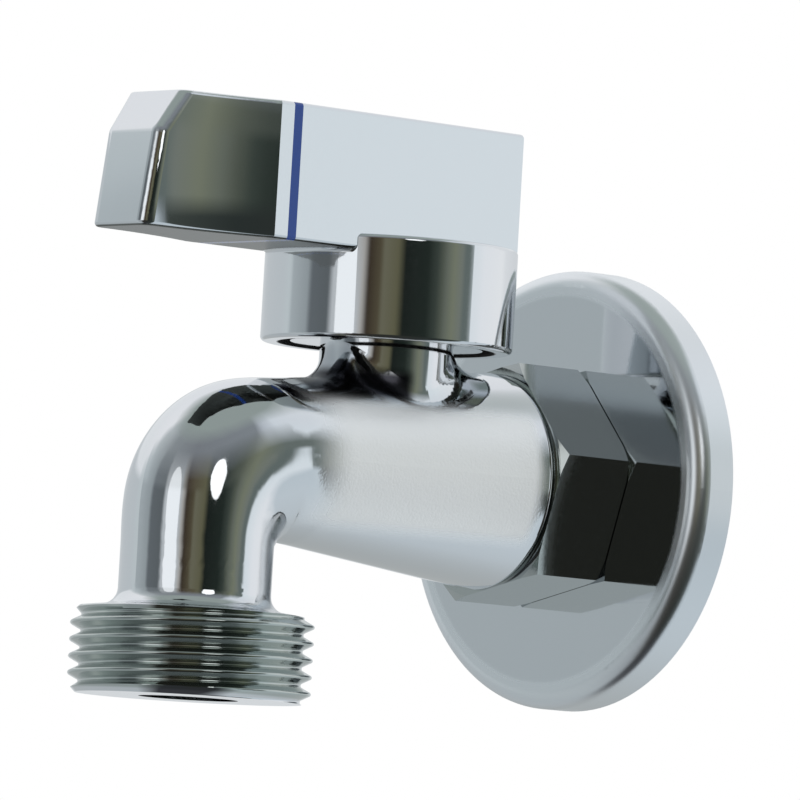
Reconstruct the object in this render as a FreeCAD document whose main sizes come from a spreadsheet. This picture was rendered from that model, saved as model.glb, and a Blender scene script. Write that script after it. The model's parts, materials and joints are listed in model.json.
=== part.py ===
import FreeCAD, Part
import Sketcher
import math
import os

# Washing machine tap with a quarter-turn ball valve, in millimetres.
# Frame: the origin is the centre of the rosette's rim on the wall, +Z is up, the wall is the
# plane Y = 0 and the tap stands out of it along -Y. A reach is a distance from the wall along -Y.

SIZES = {
    # rosette
    "rosette_radius": 24.5,
    "rosette_depth": 5.2,
    "rosette_wall": 1.1,
    "rosette_edge_round": 1.9,
    "rosette_hole_clearance": 0.32,
    # inlet nipple, a hexagon between the G1/2 wall thread and the spigot that closes the body
    "inlet_thread_radius": 10.48,
    "inlet_thread_length": 12.0,
    "inlet_thread_reach": 3.0,
    "inlet_thread_chamfer": 1.0,
    "inlet_relief_depth": 0.7,
    "inlet_bore_radius": 5.4,
    "hexagon_flats": 24.0,
    "hexagon_turn": 12.3,
    "hexagon_chamfer": 1.0,
    "hexagon_gap": 0.1,
    "spigot_radius": 9.55,
    "spigot_clearance": 0.05,
    # body casting
    "body_rear_reach": 15.0,
    "body_rear_radius": 12.15,
    "body_rear_round": 0.8,
    "cone_front_radius": 8.9,
    "spout_radius": 8.3,
    "elbow_inner_radius": 2.0,
    "elbow_outer_radius": 14.8,
    "elbow_lead": 2.8,
    "elbow_tail": 4.0,
    "waterway_radius": 5.4,
    "waterway_bend_radius": 8.0,
    "outlet_reach": 55.4,
    "outlet_drop": 26.8,
    "outlet_thread_radius": 13.22,
    "outlet_thread_length": 9.4,
    "outlet_thread_chamfer": 0.9,
    "outlet_shoulder_rise": 0.5,
    "outlet_root_round": 1.8,
    "spindle_reach": 30.3,
    "neck_radius": 7.3,
    "neck_top": 18.5,
    "neck_round": 4.4,
    "cavity_radius": 7.6,
    # stops that limit the lever to a quarter turn
    "stop_radius": 10.6,
    "stop_plate_bottom": 13.7,
    "stop_plate_thickness": 0.7,
    "stop_bottom": 14.6,
    "stop_height": 2.6,
    "stop_inner_radius": 8.1,
    "stop_centre_angle": 90.0,
    "stop_angle": 36.0,
    "stop_spare_angle": 1.5,
    "lever_turn_angle": 90.0,
    # seal between body and nipple
    "seal_recess_depth": 1.4,
    "seal_width": 1.1,
    "seal_clearance": 0.05,
    # ball and its seats
    "ball_radius": 7.0,
    "ball_bore_radius": 4.5,
    "ball_slot_width": 3.0,
    "ball_slot_bottom": 5.2,
    "seat_bore_radius": 4.6,
    "seat_nose_offset": 4.3,
    "seat_back_offset": 8.0,
    "seat_clearance": 0.06,
    # stem
    "stem_radius": 4.0,
    "stem_clearance": 0.05,
    "collar_radius": 5.4,
    "collar_bottom": 7.7,
    "collar_top": 9.4,
    "tang_length": 7.4,
    "tang_clearance": 0.06,
    "shaft_top": 19.2,
    "stem_top": 30.0,
    "stem_square": 5.6,
    "groove_depth": 1.12,
    "groove_width": 1.5,
    "lower_groove_bottom": 11.4,
    "upper_groove_bottom": 14.6,
    "ring_section_radius": 0.54,
    # gland nut and washer
    "washer_thickness": 0.9,
    "gland_nose_radius": 5.5,
    "gland_thread_radius": 6.0,
    "gland_shoulder": 13.0,
    "gland_clearance": 0.05,
    "gland_slot_width": 1.6,
    "gland_slot_depth": 1.3,
    # lever handle
    "hub_radius": 13.9,
    "hub_bottom": 13.5,
    "hub_top": 24.9,
    "hub_round": 0.5,
    "skirt_wall": 2.0,
    "hub_ceiling": 19.6,
    "bar_half_width": 7.8,
    "bar_bottom": 23.2,
    "bar_top_rear": 38.0,
    "bar_top_front": 38.25,
    "bar_length": 39.0,
    "bar_nose_rake": 1.4,
    "bar_nose_depth": 2.9,
    "bar_nose_height": 4.4,
    "bar_nose_round": 1.4,
    "bar_edge_round": 0.45,
    "flare_start": 23.3,
    "tip_half_width": 4.7,
    "socket_clearance": 0.05,
    "socket_top": 30.2,
    # handle screw, lock washer and cap
    "screw_radius": 2.0,
    "screw_clearance": 0.2,
    "screw_length": 12.0,
    "screw_head_radius": 3.5,
    "screw_head_height": 2.4,
    "screw_socket_radius": 1.45,
    "screw_socket_depth": 1.4,
    "tapped_depth": 11.5,
    "tapped_clearance": 0.05,
    "screw_seat": 32.2,
    "lock_washer_thickness": 0.9,
    "screw_well_radius": 4.2,
    "cap_bottom": 36.1,
    "cap_top": 38.0,
    "cap_clearance": 0.06,
    "cap_edge": 0.3,
    # cold water mark, a band let into the bar all round
    "band_offset": 20.3,
    "band_width": 1.2,
    "band_depth": 0.5,
}

ROOT_TWO = 2 ** 0.5
ROOT_THREE = 3 ** 0.5
FULL_TURN = 360
QUARTER_TURN = 90
SIX_SIDES = 6
TOOL_OVERRUN = 1.0
LEAD_RINGS = 4
FAN_STEPS = 4

doc = FreeCAD.newDocument("washing_machine_tap")
sheet = doc.addObject("Spreadsheet::Sheet", "sizes")


class Size:
    """A length that holds its number and the sheet expression that gives it."""

    def __init__(self, number, text):
        self.number = float(number)
        self.text = text

    @staticmethod
    def of(value):
        return value if isinstance(value, Size) else Size(value, repr(float(value)))

    def joined(self, other, sign, number):
        return Size(number, f"({self.text} {sign} {other.text})")

    def __add__(self, other):
        other = Size.of(other)
        return self.joined(other, "+", self.number + other.number)

    def __sub__(self, other):
        other = Size.of(other)
        return self.joined(other, "-", self.number - other.number)

    def __mul__(self, other):
        other = Size.of(other)
        return self.joined(other, "*", self.number * other.number)

    def __truediv__(self, other):
        other = Size.of(other)
        return self.joined(other, "/", self.number / other.number)

    def __neg__(self):
        return Size(-self.number, f"(0 - {self.text})")

    def __rsub__(self, other):
        return Size.of(other) - self

    def root(self):
        return Size(self.number ** 0.5, f"sqrt({self.text})")

    __radd__ = __add__
    __rmul__ = __mul__


class Sizes:
    """Every driving size by name, written once in the sheet."""

    def __init__(self, values):
        for row, (name, value) in enumerate(values.items(), 1):
            sheet.set(f"A{row}", name)
            sheet.set(f"B{row}", str(value))
            sheet.setAlias(f"B{row}", name)
            setattr(self, name, Size(value, f"sizes.{name}"))


size = Sizes(SIZES)
doc.recompute()

# Sizes that several pieces share
spindle = size.spindle_reach
hexagon_rear = size.rosette_depth + size.hexagon_gap
cavity_front = spindle + size.seat_back_offset
cavity_rear = spindle - size.seat_back_offset
spigot_bore = size.spigot_radius + size.spigot_clearance
seal_radius = size.spigot_radius + size.seal_width
seal_front = size.body_rear_reach + size.seal_recess_depth
washer_bottom = size.collar_top + size.stem_clearance
washer_top = washer_bottom + size.washer_thickness
gland_bottom = washer_top + size.stem_clearance
stem_bore = size.stem_radius + size.stem_clearance
skirt_radius = size.hub_radius - size.skirt_wall
bar_top_length = size.bar_length - size.bar_nose_rake - size.bar_nose_depth
outlet_top = size.outlet_drop - size.outlet_thread_length
bend_start = size.outlet_reach - size.waterway_bend_radius

# The elbow's skin turns about a pivot inside the bend, level with the end of the cone
pivot_reach = size.outlet_reach - size.spout_radius - size.elbow_inner_radius
pivot_height = -(size.cone_front_radius + size.elbow_inner_radius)
cone_length = pivot_reach - size.body_rear_reach
cone_slope = (size.body_rear_radius - size.cone_front_radius) / cone_length
elbow_top = pivot_height - size.elbow_tail


def bind(thing, **sizes_by_property):
    """Set each property to its number and tie it to the sheet; __ stands for a dot."""
    for name, value in sizes_by_property.items():
        thing.setExpression(name.replace("__", "."), Size.of(value).text)


def place(thing, reach=0, height=0, along_tap=False):
    """Stand a piece on the spindle or outlet axis, or lay it along the tap's axis."""
    if along_tap:
        thing.Placement.Rotation = FreeCAD.Rotation(FreeCAD.Vector(1, 0, 0), QUARTER_TURN)
    bind(thing, Placement__Base__y=-Size.of(reach), Placement__Base__z=height)


def origin_plane(body, role):
    return next(item for item in body.Origin.OriginFeatures if item.Role == role)


def sketch_on(body, role, name):
    sketch = body.newObject("Sketcher::SketchObject", name)
    sketch.AttachmentSupport = [(origin_plane(body, role), "")]
    sketch.MapMode = "FlatFace"
    return sketch


def tie_point(sketch, geometry, end, across, up):
    """Hold one point of a sketch at two sheet sizes."""
    for kind, value in (("DistanceX", across), ("DistanceY", up)):
        value = Size.of(value)
        here = Size.of(value.number)
        index = sketch.addConstraint(Sketcher.Constraint(kind, -1, 1, geometry, end, here.number))
        if value.text != here.text:
            sketch.setExpression(f"Constraints[{index}]", value.text)


def draw_outline(sketch, corners):
    """Draw a closed run of straight edges through corners given as (across, up) sizes."""
    corners = [(Size.of(across), Size.of(up)) for across, up in corners]
    points = [FreeCAD.Vector(across.number, up.number, 0) for across, up in corners]
    first = sketch.GeometryCount
    count = len(points)
    for index in range(count):
        sketch.addGeometry(Part.LineSegment(points[index], points[(index + 1) % count]), False)
    for index in range(count):
        following = first + (index + 1) % count
        sketch.addConstraint(Sketcher.Constraint("Coincident", first + index, 2, following, 1))
        tie_point(sketch, first + index, 1, *corners[index])


def draw_circle(sketch, radius, across=0, up=0):
    across, up, radius = Size.of(across), Size.of(up), Size.of(radius)
    centre = FreeCAD.Vector(across.number, up.number, 0)
    circle = Part.Circle(centre, FreeCAD.Vector(0, 0, 1), radius.number)
    geometry = sketch.addGeometry(circle, False)
    tie_point(sketch, geometry, 3, across, up)
    index = sketch.addConstraint(Sketcher.Constraint("Radius", geometry, radius.number))
    sketch.setExpression(f"Constraints[{index}]", radius.text)


def turned(name, corners):
    """A body turned about its own Z axis from (radius, height) corners."""
    body = doc.addObject("PartDesign::Body", name)
    sketch = sketch_on(body, "XZ_Plane", name + "_outline")
    draw_outline(sketch, corners)
    turning = body.newObject("PartDesign::Revolution", name + "_turning")
    turning.Profile = sketch
    turning.ReferenceAxis = (sketch, ["V_Axis"])
    turning.Angle = FULL_TURN
    doc.recompute()
    return body


def cylinder(name, radius, bottom, height, reach=0, along_tap=False):
    piece = doc.addObject("Part::Cylinder", name)
    bind(piece, Radius=radius, Height=height)
    if along_tap:
        place(piece, reach=bottom, along_tap=True)
    else:
        place(piece, reach=reach, height=bottom)
    return piece


def box(name, width, depth, height, bottom, reach):
    """A block centred on an upright axis."""
    piece = doc.addObject("Part::Box", name)
    width, depth, reach = Size.of(width), Size.of(depth), Size.of(reach)
    bind(piece, Length=width, Width=depth, Height=height)
    bind(piece, Placement__Base__x=-(width / 2), Placement__Base__y=-(reach + depth / 2))
    bind(piece, Placement__Base__z=bottom)
    return piece


def fused(name, pieces):
    union = doc.addObject("Part::MultiFuse", name)
    union.Shapes = pieces
    doc.recompute()
    return union


def cut(name, base, tools):
    """Cut tools out of a piece, one fused tool after another."""
    tool = tools[0] if len(tools) == 1 else fused(name + "_tools", tools)
    result = doc.addObject("Part::Cut", name)
    result.Base = base
    result.Tool = tool
    doc.recompute()
    return result


def edge_names(shape, wanted):
    return [f"Edge{index}" for index, edge in enumerate(shape.Edges, 1) if wanted(edge)]


def is_ring(edge, radius, height):
    """A circular edge of a given radius at a given height on its body's own axis."""
    curve = edge.Curve
    near = 0.01
    if not isinstance(curve, Part.Circle):
        return False
    return abs(curve.Radius - radius.number) < near and abs(curve.Center.z - height.number) < near


def ring_names(body, rings):
    shape = body.Tip.Shape
    return edge_names(shape, lambda edge: any(is_ring(edge, *ring) for ring in rings))


def dress(body, kind, name, edges, **sizes_by_property):
    """Add a PartDesign Fillet or Chamfer on named edges of the body's tip."""
    base = body.Tip
    feature = body.newObject(f"PartDesign::{kind}", name)
    feature.Base = (base, edges)
    bind(feature, **sizes_by_property)
    doc.recompute()
    return feature


def sector(name, radius, bottom, height, start_angle, angle):
    """A sector of a cylinder on the spindle axis, counted from +X."""
    piece = doc.addObject("Part::Cylinder", name)
    bind(piece, Radius=radius, Height=height, Angle=angle)
    piece.Placement.Rotation = FreeCAD.Rotation(FreeCAD.Vector(0, 0, 1), start_angle.number)
    place(piece, reach=spindle, height=bottom)
    return piece


def hexagon(name, flats, height, bottom, reach=0, turn=0, along_tap=False):
    """A six-sided prism, its width given across flats."""
    piece = doc.addObject("Part::Prism", name)
    piece.Polygon = SIX_SIDES
    bind(piece, Circumradius=Size.of(flats) / ROOT_THREE, Height=height)
    about_axis = FreeCAD.Rotation(FreeCAD.Vector(0, 0, 1), Size.of(turn).number)
    if along_tap:
        lying = FreeCAD.Rotation(FreeCAD.Vector(1, 0, 0), QUARTER_TURN)
        piece.Placement.Rotation = lying.multiply(about_axis)
        bind(piece, Placement__Base__y=-Size.of(bottom))
    else:
        piece.Placement.Rotation = about_axis
        place(piece, reach=reach, height=bottom)
    return piece


def make_rosette():
    """A thin pressed dish whose rim stands on the wall and whose hole runs over the thread."""
    hole = size.inlet_thread_radius + size.rosette_hole_clearance
    inside = size.rosette_radius - size.rosette_wall
    under = size.rosette_depth - size.rosette_wall
    dish = turned("rosette", [
        (inside, 0),
        (size.rosette_radius, 0),
        (size.rosette_radius, size.rosette_depth),
        (hole, size.rosette_depth),
        (hole, under),
        (inside, under),
    ])
    outer_edge = ring_names(dish, [(size.rosette_radius, size.rosette_depth)])
    dress(dish, "Fillet", "rosette_edge", outer_edge, Radius=size.rosette_edge_round)
    inner_edge = ring_names(dish, [(inside, under)])
    dress(dish, "Fillet", "rosette_inner_edge", inner_edge,
          Radius=size.rosette_edge_round - size.rosette_wall)
    place(dish, along_tap=True)
    return dish


def make_inlet_nipple():
    """The wall thread, the hexagon that is gripped to fit the tap, and the spigot inside it."""
    thread = size.inlet_thread_radius
    end = -size.inlet_thread_length
    chamfer = size.inlet_thread_chamfer
    relief = thread - size.inlet_relief_depth
    core = turned("nipple_core", [
        (size.inlet_bore_radius, end),
        (thread - chamfer, end),
        (thread, end + chamfer),
        (thread, size.inlet_thread_reach),
        (relief, size.inlet_thread_reach),
        (relief, size.body_rear_reach),
        (size.spigot_radius, size.body_rear_reach),
        (size.spigot_radius, cavity_rear),
        (size.inlet_bore_radius, cavity_rear),
    ])
    place(core, along_tap=True)
    length = size.body_rear_reach - hexagon_rear
    grip = hexagon("nipple_grip", size.hexagon_flats, length, hexagon_rear,
                   turn=size.hexagon_turn, along_tap=True)
    corner = size.hexagon_flats / ROOT_THREE
    broken = size.hexagon_chamfer
    bevel = turned("nipple_grip_bevel", [
        (0, hexagon_rear),
        (corner - broken, hexagon_rear),
        (corner, hexagon_rear + broken / 2),
        (corner, size.body_rear_reach - broken / 2),
        (corner - broken, size.body_rear_reach),
        (0, size.body_rear_reach),
    ])
    place(bevel, along_tap=True)
    bevelled = doc.addObject("Part::MultiCommon", "nipple_grip_bevelled")
    bevelled.Shapes = [grip, bevel]
    bore = cylinder("nipple_grip_bore", size.inlet_bore_radius, hexagon_rear - TOOL_OVERRUN,
                    length + 2 * TOOL_OVERRUN, along_tap=True)
    solid = fused("nipple_solid", [core, bevelled])
    return cut("inlet_nipple", solid, [bore])


def make_nipple_seal():
    """A flat ring squeezed between the hexagon and the recess in the body's rear face."""
    gap = size.seal_clearance
    ring = turned("nipple_seal", [
        (size.spigot_radius + gap, size.body_rear_reach + gap),
        (seal_radius - gap, size.body_rear_reach + gap),
        (seal_radius - gap, seal_front - gap),
        (size.spigot_radius + gap, seal_front - gap),
    ])
    place(ring, along_tap=True)
    return ring


def make_body():
    """The brass casting: cone, spout elbow, outlet and neck, bored out for the ball and stem."""
    elbow = make_elbow()
    lead_reach = pivot_reach - size.elbow_lead
    cone = turned("body_cone", [
        (0, size.body_rear_reach),
        (size.body_rear_radius, size.body_rear_reach),
        (cone_radius(lead_reach), lead_reach),
        (0, lead_reach),
    ])
    rear_edge = ring_names(cone, [(size.body_rear_radius, size.body_rear_reach)])
    dress(cone, "Fillet", "body_rear_edge", rear_edge, Radius=size.body_rear_round)
    place(cone, along_tap=True)
    outlet = make_outlet()
    neck = cylinder("body_neck", size.neck_radius, 0, size.neck_top, reach=spindle)
    shell = fused("body_shell", [cone, elbow, outlet, neck])
    blended = blend_neck(shell)
    plate = cylinder("body_stop_plate", size.stop_radius, size.stop_plate_bottom,
                     size.stop_plate_thickness, reach=spindle)
    stop_height = size.stop_bottom + size.stop_height - size.stop_plate_bottom
    stop = sector("body_stop", size.stop_radius, size.stop_plate_bottom, stop_height,
                  size.stop_centre_angle - size.stop_angle / 2, size.stop_angle)
    solid = fused("body_solid", [blended, plate, stop])
    return cut("body", solid, body_hollows())


def cone_radius(reach):
    """Radius of the cone at a reach."""
    return size.body_rear_radius - cone_slope * (reach - size.body_rear_reach)


def make_elbow():
    """The bend from the cone to the outlet, skinned over rings that fan round its pivot."""
    rings = []
    for step in range(LEAD_RINGS, 0, -1):
        reach = pivot_reach - size.elbow_lead * step / LEAD_RINGS
        rings.append(elbow_ring(0, cone_radius(reach), reach=reach))
    rings.append(elbow_ring(0, size.cone_front_radius, reach=pivot_reach))
    for step in range(1, FAN_STEPS):
        rings.append(fan_ring(QUARTER_TURN * step / FAN_STEPS))
    rings.append(elbow_ring(QUARTER_TURN, size.spout_radius, size.outlet_reach, pivot_height))
    for step in range(1, LEAD_RINGS + 1):
        height = pivot_height - size.elbow_tail * step / LEAD_RINGS
        rings.append(elbow_ring(QUARTER_TURN, size.spout_radius, size.outlet_reach, height))
    elbow = doc.addObject("Part::Loft", "body_elbow")
    elbow.Sections = rings
    elbow.Solid = True
    doc.recompute()
    return elbow


def elbow_ring(turn, radius, reach, height=0):
    """A round section of the elbow, turned down from facing along the tap."""
    ring = doc.addObject("Part::Circle", "elbow_ring")
    bind(ring, Radius=radius)
    return turn_ring(ring, turn, reach, height)


def fan_ring(turn):
    """An oval section of the elbow between its inner bend and its outer bend."""
    sine, cosine = math.sin(math.radians(turn)), math.cos(math.radians(turn))
    centre_reach = size.outlet_reach + size.spout_radius - size.elbow_outer_radius
    ahead = centre_reach - pivot_reach
    above = cone_radius(centre_reach) - size.elbow_outer_radius - pivot_height
    along = ahead * sine + above * cosine
    aside = ahead * cosine - above * sine
    outer = along + (size.elbow_outer_radius * size.elbow_outer_radius - aside * aside).root()
    middle = (outer + size.elbow_inner_radius) / 2
    narrowed = (size.cone_front_radius - size.spout_radius) * turn / QUARTER_TURN
    ring = doc.addObject("Part::Ellipse", "elbow_ring")
    bind(ring, MajorRadius=(outer - size.elbow_inner_radius) / 2)
    bind(ring, MinorRadius=size.cone_front_radius - narrowed)
    return turn_ring(ring, turn, pivot_reach + middle * sine, pivot_height + middle * cosine)


def turn_ring(ring, turn, reach, height):
    """Stand a section across the bend, its own X pointing away from the pivot."""
    forward = FreeCAD.Rotation(FreeCAD.Vector(0, 0, 1), FreeCAD.Vector(-1, 0, 0),
                               FreeCAD.Vector(0, -1, 0), "ZXY")
    downward = FreeCAD.Rotation(FreeCAD.Vector(1, 0, 0), turn)
    ring.Placement.Rotation = downward.multiply(forward)
    place(ring, reach=reach, height=height)
    return ring


def make_outlet():
    """The downward end of the spout with its G3/4 hose thread."""
    crest = size.outlet_thread_radius
    chamfer = size.outlet_thread_chamfer
    shoulder = outlet_top - size.outlet_shoulder_rise
    end = turned("body_outlet", [
        (0, elbow_top),
        (size.spout_radius, elbow_top),
        (size.spout_radius, -shoulder),
        (crest - chamfer, -outlet_top),
        (crest, -(outlet_top + chamfer)),
        (crest, -(size.outlet_drop - chamfer)),
        (crest - chamfer, -size.outlet_drop),
        (0, -size.outlet_drop),
    ])
    corner = ring_names(end, [(size.spout_radius, -shoulder)])
    dress(end, "Fillet", "body_outlet_root", corner, Radius=size.outlet_root_round)
    place(end, reach=size.outlet_reach)
    return end


def blend_neck(shell):
    """Round the saddle line where the neck grows out of the cone."""
    near = 0.4
    lowest = size.cavity_radius.number / ROOT_TWO

    def on_saddle(edge):
        points = [edge.valueAt(at) for at in edge.ParameterRange]
        points.append(edge.valueAt(sum(edge.ParameterRange) / 2))
        return all(
            abs(math.hypot(point.x, point.y + spindle.number) - size.neck_radius.number) < near
            and lowest < point.z < size.neck_top.number - near
            for point in points
        )

    rounded = doc.addObject("Part::Fillet", "body_blended")
    rounded.Base = shell
    radius = size.neck_round.number
    chosen = [index for index, edge in enumerate(shell.Shape.Edges, 1) if on_saddle(edge)]
    rounded.Edges = [(index, radius, radius) for index in chosen]
    doc.recompute()
    return rounded


def body_hollows():
    """Everything bored out of the casting."""
    overrun = TOOL_OVERRUN
    valve = turned("body_cavity", [
        (0, size.body_rear_reach - overrun),
        (seal_radius, size.body_rear_reach - overrun),
        (seal_radius, seal_front),
        (spigot_bore, seal_front),
        (spigot_bore, cavity_rear),
        (size.cavity_radius, cavity_rear),
        (size.cavity_radius, cavity_front),
        (size.waterway_radius, cavity_front),
        (size.waterway_radius, bend_start),
        (0, bend_start),
    ])
    place(valve, along_tap=True)
    bend = waterway_bend()
    drop = size.outlet_drop - size.waterway_bend_radius + overrun
    mouth = cylinder("body_mouth_bore", size.waterway_radius, -(size.outlet_drop + overrun), drop,
                     reach=size.outlet_reach)
    nose_bore = cylinder("body_nose_bore", size.gland_nose_radius, size.ball_slot_bottom,
                         size.neck_top - size.ball_slot_bottom, reach=spindle)
    thread_bore = cylinder("body_gland_bore", size.gland_thread_radius, size.gland_shoulder,
                           size.neck_top - size.gland_shoulder + overrun, reach=spindle)
    return [valve, bend, mouth, nose_bore, thread_bore]


def waterway_bend():
    """A quarter of a torus that leads the water from the tap's axis down to the outlet."""
    bend = doc.addObject("Part::Torus", "body_bend_bore")
    bind(bend, Radius1=size.waterway_bend_radius, Radius2=size.waterway_radius)
    bend.Angle3 = QUARTER_TURN
    standing = FreeCAD.Rotation(FreeCAD.Vector(1, 0, 0), QUARTER_TURN)
    towards_front = FreeCAD.Rotation(FreeCAD.Vector(0, 0, 1), -QUARTER_TURN)
    bend.Placement.Rotation = towards_front.multiply(standing)
    place(bend, reach=bend_start, height=-size.waterway_bend_radius)
    return bend


def make_seat(name, side):
    """A sealing ring with a conical face that the ball rests on; side is +1 or -1."""
    touch = size.ball_radius * ROOT_TWO + size.seat_clearance
    nose = size.seat_nose_offset
    outer = size.cavity_radius - size.seat_clearance
    ring = turned(name, [
        (touch - nose, spindle + nose * side),
        (outer, spindle + nose * side),
        (outer, spindle + size.seat_back_offset * side),
        (size.seat_bore_radius, spindle + size.seat_back_offset * side),
        (size.seat_bore_radius, spindle + (touch - size.seat_bore_radius) * side),
    ])
    place(ring, along_tap=True)
    return ring


def make_ball():
    """The pierced ball, with the slot across its top that takes the stem's tang."""
    sphere = doc.addObject("Part::Sphere", "ball_sphere")
    bind(sphere, Radius=size.ball_radius)
    place(sphere, reach=spindle)
    through = 2 * (size.ball_radius + TOOL_OVERRUN)
    bore = cylinder("ball_bore", size.ball_bore_radius, spindle - size.ball_radius - TOOL_OVERRUN,
                    through, along_tap=True)
    slot = box("ball_slot", through, size.ball_slot_width, size.ball_radius,
               size.ball_slot_bottom, spindle)
    return cut("ball", sphere, [bore, slot])


def make_stem():
    """The spindle: tang, collar, two ring grooves, driving square and tapped hole."""
    groove = size.stem_radius - size.groove_depth
    corners = [
        (0, size.collar_bottom),
        (size.collar_radius, size.collar_bottom),
        (size.collar_radius, size.collar_top),
        (size.stem_radius, size.collar_top),
    ]
    for bottom in (size.lower_groove_bottom, size.upper_groove_bottom):
        top = bottom + size.groove_width
        corners += [(size.stem_radius, bottom), (groove, bottom)]
        corners += [(groove, top), (size.stem_radius, top)]
    corners += [(size.stem_radius, size.shaft_top), (0, size.shaft_top)]
    shaft = turned("stem_shaft", corners)
    place(shaft, reach=spindle)
    square = box("stem_square_end", size.stem_square, size.stem_square,
                 size.stem_top - size.shaft_top, size.shaft_top, spindle)
    tang_bottom = size.ball_slot_bottom + size.tang_clearance
    tang = box("stem_tang", size.tang_length, size.ball_slot_width - 2 * size.tang_clearance,
               size.collar_bottom - tang_bottom, tang_bottom, spindle)
    solid = fused("stem_solid", [shaft, square, tang])
    tapped = cylinder("stem_tapped_hole", size.screw_radius + size.tapped_clearance,
                      size.stem_top - size.tapped_depth, size.tapped_depth + TOOL_OVERRUN,
                      reach=spindle)
    return cut("stem", solid, [tapped])


def make_stem_ring(name, groove_bottom):
    """A rubber ring in one of the stem's grooves."""
    ring = doc.addObject("Part::Torus", name)
    section = size.ring_section_radius
    bind(ring, Radius1=size.stem_radius - section, Radius2=section)
    place(ring, reach=spindle, height=groove_bottom + size.groove_width / 2)
    return ring


def make_thrust_washer():
    gap = size.gland_clearance
    washer = turned("thrust_washer", [
        (stem_bore, washer_bottom),
        (size.gland_nose_radius - gap, washer_bottom),
        (size.gland_nose_radius - gap, washer_top),
        (stem_bore, washer_top),
    ])
    place(washer, reach=spindle)
    return washer


def make_gland_nut():
    """The screwed sleeve that holds the stem down and carries its upper bearing."""
    gap = size.gland_clearance
    sleeve = turned("gland_sleeve", [
        (stem_bore, gland_bottom),
        (size.gland_nose_radius - gap, gland_bottom),
        (size.gland_nose_radius - gap, size.gland_shoulder + gap),
        (size.gland_thread_radius - gap, size.gland_shoulder + gap),
        (size.gland_thread_radius - gap, size.neck_top),
        (stem_bore, size.neck_top),
    ])
    place(sleeve, reach=spindle)
    across = 2 * (size.gland_thread_radius + TOOL_OVERRUN)
    slot = box("gland_slot", across, size.gland_slot_width, size.gland_slot_depth + TOOL_OVERRUN,
               size.neck_top - size.gland_slot_depth, spindle)
    return cut("gland_nut", sleeve, [slot])


def lever_casting():
    """Hub and bar: round hub, slab with hollow-ground flanks towards a bevelled nose."""
    body = doc.addObject("PartDesign::Body", "lever_casting")
    hub_plan = sketch_on(body, "XY_Plane", "hub_plan")
    draw_circle(hub_plan, size.hub_radius)
    bind(hub_plan, AttachmentOffset__Base__z=size.hub_bottom)
    hub = body.newObject("PartDesign::Pad", "hub")
    hub.Profile = hub_plan
    bind(hub, Length=size.hub_top - size.hub_bottom)
    doc.recompute()
    rims = [(size.hub_radius, size.hub_bottom), (size.hub_radius, size.hub_top)]
    dress(body, "Fillet", "hub_rims", ring_names(body, rims), Radius=size.hub_round)

    bar_plan = sketch_on(body, "XY_Plane", "bar_plan")
    draw_bar_plan(bar_plan)
    bind(bar_plan, AttachmentOffset__Base__z=size.bar_bottom)
    bar = body.newObject("PartDesign::Pad", "bar")
    bar.Profile = bar_plan
    bind(bar, Length=size.bar_top_front - size.bar_bottom + TOOL_OVERRUN)
    doc.recompute()

    side = sketch_on(body, "YZ_Plane", "bar_side")
    above = size.bar_top_front + 2 * TOOL_OVERRUN
    before = -(size.bar_length + TOOL_OVERRUN)
    behind = size.hub_radius + TOOL_OVERRUN
    draw_outline(side, [
        (behind, size.bar_top_rear),
        (-bar_top_length, size.bar_top_front),
        (-(size.bar_length - size.bar_nose_rake), size.bar_top_front - size.bar_nose_height),
        (-size.bar_length, size.bar_bottom),
        (before, size.bar_bottom),
        (before, above),
        (behind, above),
    ])
    top = body.newObject("PartDesign::Pocket", "bar_top")
    top.Profile = side
    top.Type = "ThroughAll"
    top.SideType = "Symmetric"
    doc.recompute()
    dress(body, "Fillet", "nose_crease", nose_crease_names(body.Tip.Shape),
          Radius=size.bar_nose_round + size.bar_edge_round)
    dress(body, "Fillet", "nose_edges", nose_edge_names(body.Tip.Shape),
          Radius=size.bar_nose_round)
    dress(body, "Fillet", "bar_edges", bar_edge_names(body.Tip.Shape), Radius=size.bar_edge_round)

    skirt_plan = sketch_on(body, "XY_Plane", "skirt_plan")
    draw_circle(skirt_plan, skirt_radius)
    bind(skirt_plan, AttachmentOffset__Base__z=size.hub_ceiling)
    skirt = body.newObject("PartDesign::Pocket", "skirt_hollow")
    skirt.Profile = skirt_plan
    bind(skirt, Length=size.hub_ceiling - size.hub_bottom + TOOL_OVERRUN)
    place(body, reach=spindle)
    doc.recompute()
    return body


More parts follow.
